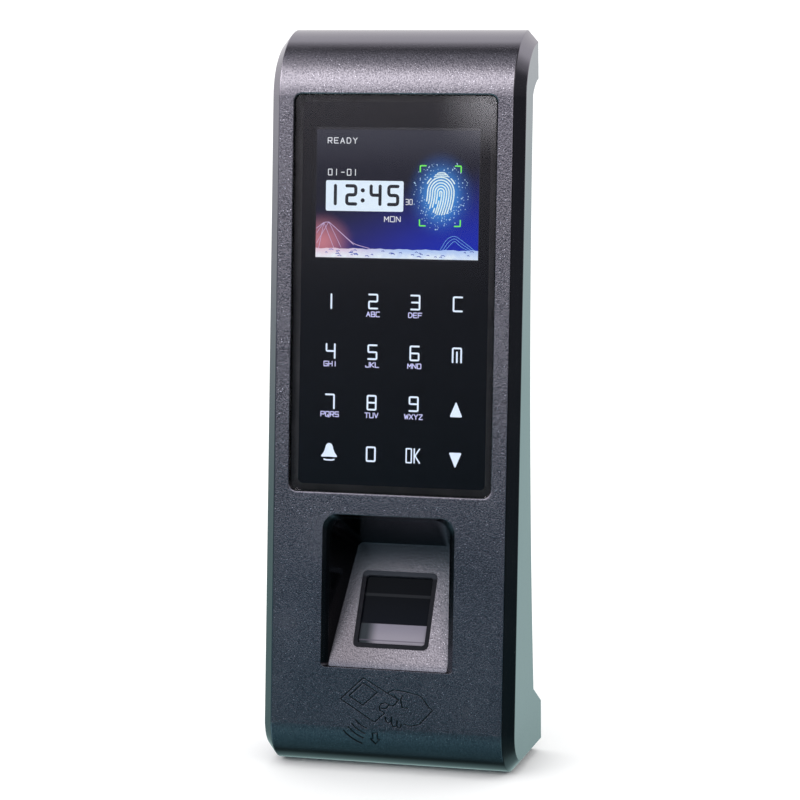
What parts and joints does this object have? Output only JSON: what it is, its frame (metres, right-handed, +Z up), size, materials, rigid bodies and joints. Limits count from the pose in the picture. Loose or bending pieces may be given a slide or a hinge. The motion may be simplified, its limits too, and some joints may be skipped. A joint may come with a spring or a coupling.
{
  "type": "fingerprint scanner terminal",
  "caption": "Wall-mounted access terminal: chamfered wedge casing, glass panel with display and touch keypad, finger recess with sensor ramp, card reader foot, rear cover and wall plate.",
  "frame": {"origin": "middle of the wall plate's four screw holes, on the plate's rear face, which lies on the wall", "axes": "+X to the viewer's right, +Y into the wall (the front faces -Y), +Z up"},
  "size_m": [0.0754, 0.0374, 0.2128],
  "materials": {
    "amber_film": "polyimide film",
    "black_board": "solder mask",
    "black_nylon": "moulded nylon",
    "black_tape": "adhesive tape",
    "can_aluminium": "drawn can",
    "casing_paint": "fine sparkling metallic texture paint, glossy sides",
    "cell_steel": "nickel plated",
    "chip_epoxy": "moulded epoxy",
    "copper": "bare track",
    "green_board": "solder mask over glass fibre",
    "green_nylon": "moulded nylon",
    "grey_foam": "closed cell foam",
    "jack_steel": "tinned shell",
    "lcd_glass": "lit display",
    "led_white": "lit diode resin",
    "light_plastic": "clear light plate",
    "milk_plastic": "milky diffuser",
    "panel_glass": "clear toughened glass",
    "rear_plastic": "moulded black, fine spark texture",
    "seal_rubber": "soft black",
    "sensor_glass": "polished",
    "tinned_steel": "tinned sheet",
    "white_nylon": "moulded nylon",
    "zinc_screw": "zinc plated",
    "zinc_steel": "zinc plated sheet"
  },
  "bodies": {
    "casing": {"battery_holder": "black_nylon", "board_screws": "zinc_screw", "buzzer": "black_nylon", "capacitors": "can_aluminium", "card_antenna": "copper", "card_board": "green_board", "card_chip": "chip_epoxy", "case_gasket": "seal_rubber", "case_screws": "zinc_screw", "clock_battery": "cell_steel", "cover_glass": "panel_glass", "finger_well": "casing_paint", "front_shell": "casing_paint", "glass_tape": "black_tape", "keypad_board": "black_board", "keypad_leds": "led_white", "keypad_light_guide": "milk_plastic", "lcd_backlight": "light_plastic", "lcd_cell": "lcd_glass", "lcd_ribbon": "amber_film", "lcd_tray": "zinc_steel", "lock_screw": "zinc_screw", "main_board": "green_board", "memory_chips": "chip_epoxy", "network_jack": "jack_steel", "processor_chip": "chip_epoxy", "radio_shield": "tinned_steel", "rear_cover": "rear_plastic", "reset_switch": "black_nylon", "ribbon_sockets": "white_nylon", "sensor_board": "green_board", "sensor_camera": "black_nylon", "sensor_housing": "black_nylon", "sensor_light": "led_white", "sensor_prism": "sensor_glass", "sensor_ribbon": "amber_film", "sensor_screws": "zinc_screw", "sensor_seal": "seal_rubber", "service_board": "green_board", "service_port": "jack_steel", "service_screws": "zinc_screw", "speaker": "black_nylon", "speaker_gasket": "grey_foam", "tamper_switch": "black_nylon", "terminal_block": "green_nylon", "wall_plate": "zinc_steel"},
    "tamper_plunger": {"tamper_plunger": "white_nylon"},
    "reset_button": {"reset_button": "white_nylon"}
  },
  "joints": [
    {"name": "tamper_travel", "type": "slide", "parent": "casing", "child": "tamper_plunger", "axis": [0, -1, 0], "range_m": [0, 0.0006], "stiffness_N_per_m": 600, "springref_m": -0.001},
    {"name": "reset_travel", "type": "slide", "parent": "casing", "child": "reset_button", "axis": [0, 0, 1], "range_m": [0, 0.0003], "stiffness_N_per_m": 1500, "springref_m": -0.0005}
  ]
}
